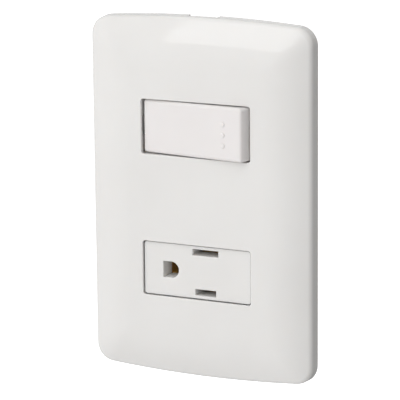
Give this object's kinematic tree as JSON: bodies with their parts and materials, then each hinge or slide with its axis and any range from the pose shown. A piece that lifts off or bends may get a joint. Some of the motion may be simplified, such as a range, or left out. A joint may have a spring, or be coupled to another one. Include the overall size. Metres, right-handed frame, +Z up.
{
  "type": "switch and socket combination",
  "caption": "Wall plate with a rocker switch module above and an earthed flat-blade socket module below, on a mounting frame with box screws.",
  "frame": {"origin": "on the wall plane, midway between the two box screws", "axes": "+Z up along the plate, +Y into the wall along the box screws, +X to the right"},
  "size_m": [0.075, 0.0332, 0.1138],
  "materials": {
    "plate_white": "moulded ABS, semi-gloss",
    "module_white": "moulded polycarbonate, semi-gloss",
    "rocker_white": "moulded polycarbonate, semi-gloss",
    "frame_nylon": "moulded nylon, matte",
    "base_nylon": "moulded nylon, matte",
    "plunger_nylon": "moulded acetal",
    "zinc_steel": "zinc-plated steel",
    "spring_steel": "spring steel wire",
    "copper_lever": "rolled copper alloy",
    "terminal_brass": "stamped brass",
    "contact_brass": "stamped phosphor bronze and brass",
    "silver_tip": "silver alloy contact"
  },
  "bodies": {
    "wall_unit": {"cover_plate": "plate_white", "mounting_frame": "frame_nylon", "box_screws": "zinc_steel", "switch_frame": "module_white", "switch_base": "base_nylon", "pivot_terminal": "terminal_brass", "fixed_contact_terminal": "terminal_brass", "fixed_contact_tip": "silver_tip", "switch_terminal_screws": "zinc_steel", "switch_clamp_plates": "zinc_steel", "socket_face": "module_white", "socket_base": "base_nylon", "line_contact": "contact_brass", "neutral_contact": "contact_brass", "earth_contact": "contact_brass", "socket_terminal_screws": "zinc_steel", "socket_clamp_plates": "zinc_steel"},
    "rocker": {"rocker": "rocker_white", "rocker_spring": "spring_steel"},
    "plunger": {"rocker_plunger": "plunger_nylon"},
    "contact_lever": {"contact_lever": "copper_lever", "moving_contact_tip": "silver_tip"}
  },
  "joints": [
    {"name": "rocker_hinge", "type": "hinge", "parent": "wall_unit", "child": "rocker", "pos_m": [0, -0.002, 0.0224], "axis": [0, 0, 1], "range_deg": [0, 12]},
    {"name": "plunger_slide", "type": "slide", "parent": "rocker", "child": "plunger", "axis": [-0.1045, -0.9945, 0], "range_m": [0, 0.0008], "stiffness_N_per_m": 150, "springref_m": -0.004, "deforming": ["rocker_spring"]},
    {"name": "contact_lever_hinge", "type": "hinge", "parent": "wall_unit", "child": "contact_lever", "pos_m": [0, 0.01005, 0.0224], "axis": [0, 0, 1], "range_deg": [-14.1, 0.1]}
  ],
  "couplings": [
    {"joint": "contact_lever_hinge", "follows": "rocker_hinge", "ratio": -1.1667}
  ]
}
